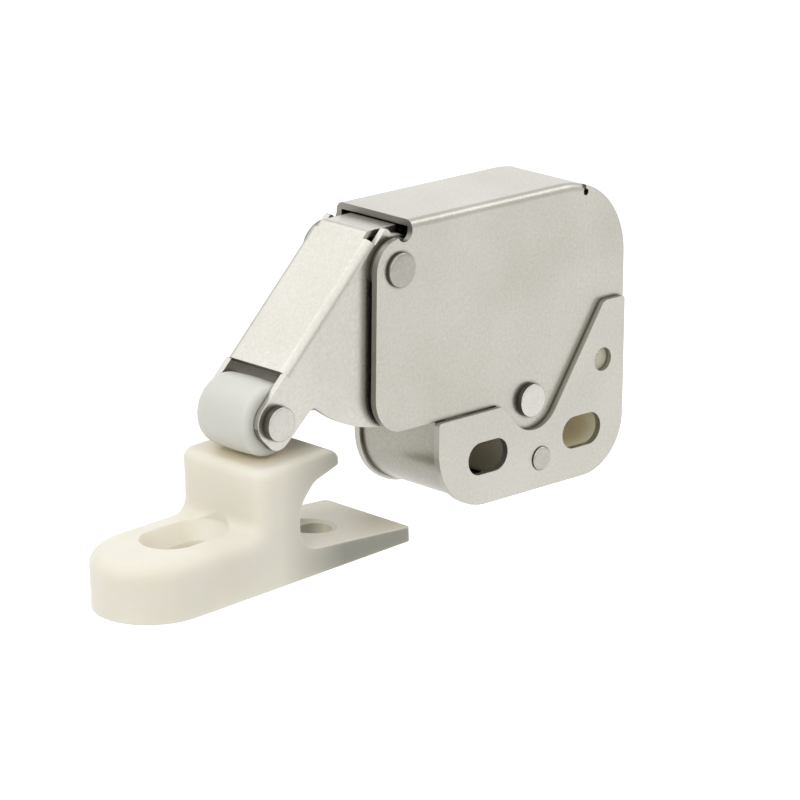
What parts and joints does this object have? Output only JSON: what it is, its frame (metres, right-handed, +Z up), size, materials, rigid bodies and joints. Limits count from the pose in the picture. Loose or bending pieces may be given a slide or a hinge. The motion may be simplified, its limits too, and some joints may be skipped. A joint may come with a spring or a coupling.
{
  "type": "push to open catch",
  "caption": "Touch catch: sprung roller arm in a folded steel housing on a slotted mounting bracket, with a separate hooked nylon strike for the door.",
  "frame": {"origin": "midway between the two fixing slots, on the near bracket plate's outer face, where the screw heads bear", "axes": "+X along the line of the slots, from the strike towards the rear of the bracket; -Y out of the near plate towards the screwdriver; +Z up towards the housing"},
  "size_m": [0.0756, 0.0146, 0.0394],
  "materials": {
    "plated_sheet": "satin nickel plate",
    "plated_pin": "tumbled nickel plate",
    "spring_wire": "drawn spring wire",
    "roller_nylon": "smooth moulded",
    "block_nylon": "natural moulded",
    "strike_nylon": "natural moulded"
  },
  "bodies": {
    "latch_body": {"housing_shell": "plated_sheet", "bracket_plate_near": "plated_sheet", "bracket_plate_far": "plated_sheet", "base_frame": "plated_sheet", "cam_block": "block_nylon", "pivot_rivet": "plated_pin", "lower_rivet": "plated_pin", "bracket_pin": "plated_pin", "pivot_sleeve": "plated_pin", "pivot_washer_near": "plated_pin", "pivot_washer_far": "plated_pin", "arm_spring": "spring_wire", "link_keeper": "spring_wire"},
    "swing_arm": {"arm_shell": "plated_sheet", "roller_pin": "plated_pin"},
    "roller_wheel": {"roller": "roller_nylon"},
    "link": {"cam_link": "spring_wire"},
    "strike_plate": {"strike": "strike_nylon"}
  },
  "joints": [
    {"name": "arm_swing", "type": "hinge", "parent": "latch_body", "child": "swing_arm", "pos_m": [-0.02155, 0.007, 0.02465], "axis": [0, -1, 0], "range_deg": [0, 50], "stiffness_Nm_per_rad": 0.05, "springref_deg": -34.38, "deforming": ["arm_spring"]},
    {"name": "roller_spin", "type": "hinge", "parent": "swing_arm", "child": "roller_wheel", "pos_m": [-0.03927, 0.007, 0.00999], "axis": [0, -1, 0], "continuous": true},
    {"name": "link_swing", "type": "hinge", "parent": "swing_arm", "child": "link", "pos_m": [-0.02211, 0.0047, 0.00866], "axis": [0, -1, 0], "range_deg": [-50, 0]},
    {"name": "strike_travel", "type": "slide", "parent": "latch_body", "child": "strike_plate", "axis": [0.0489, 0, -0.9988], "range_m": [0, 0.0201]}
  ],
  "couplings": [
    {"joint": "link_swing", "follows": "arm_swing", "ratio": -1},
    {"joint": "strike_travel", "follows": "arm_swing", "m_per_rad": 0.0229}
  ]
}
